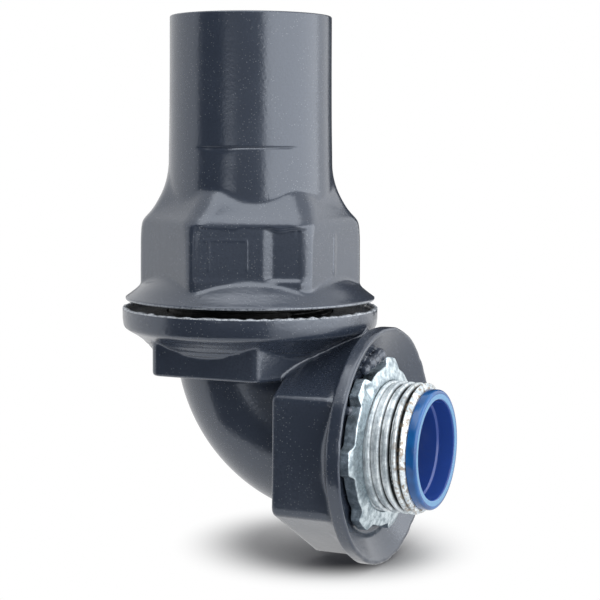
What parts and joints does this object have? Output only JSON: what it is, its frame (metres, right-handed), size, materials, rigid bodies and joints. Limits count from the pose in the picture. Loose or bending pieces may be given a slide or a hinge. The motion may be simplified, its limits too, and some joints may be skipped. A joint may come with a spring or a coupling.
{
  "type": "liquidtight elbow connector",
  "caption": "Grey plastic-coated 90 degree liquidtight conduit connector with a long sleeved gland nut, a threaded hub with a locknut and a blue insulated throat.",
  "frame": {"origin": "on the hub's axis, in the plane of the flange's sealing lip, which is the face of the enclosure wall", "axes": "+X out of the threaded hub into the enclosure, +Z along the gland away from the hub, +Y completes the right-handed frame"},
  "size_m": [0.0685, 0.0532, 0.1105],
  "materials": {
    "malleable_iron": "satin plated, rough",
    "grey_coating": "glossy moulded",
    "blue_plastic": "satin moulded",
    "zinc_steel": "bright plated",
    "ring_plastic": "satin moulded"
  },
  "bodies": {
    "elbow": {"elbow_casting": "malleable_iron", "elbow_jacket": "grey_coating", "insulated_throat": "blue_plastic", "grounding_ferrule": "zinc_steel"},
    "sealing_ring": {"sealing_ring": "ring_plastic"},
    "gland_nut": {"gland_nut": "zinc_steel", "gland_nut_jacket": "grey_coating"},
    "locknut": {"locknut": "zinc_steel"}
  },
  "joints": [
    {"name": "gland_travel", "type": "slide", "parent": "elbow", "child": "sealing_ring", "axis": [0, 0, 1], "range_m": [-0.00118, 0.00726]},
    {"name": "gland_turn", "type": "hinge", "parent": "sealing_ring", "child": "gland_nut", "pos_m": [-0.0312, 0, 0.04], "axis": [0, 0, 1], "range_deg": [-234, 1440]},
    {"name": "locknut_travel", "type": "slide", "parent": "elbow", "child": "locknut", "axis": [1, 0, 0], "range_m": [-0.0003, 0.008]}
  ],
  "couplings": [
    {"joint": "gland_turn", "follows": "gland_travel", "rad_per_m": 3463.7}
  ]
}
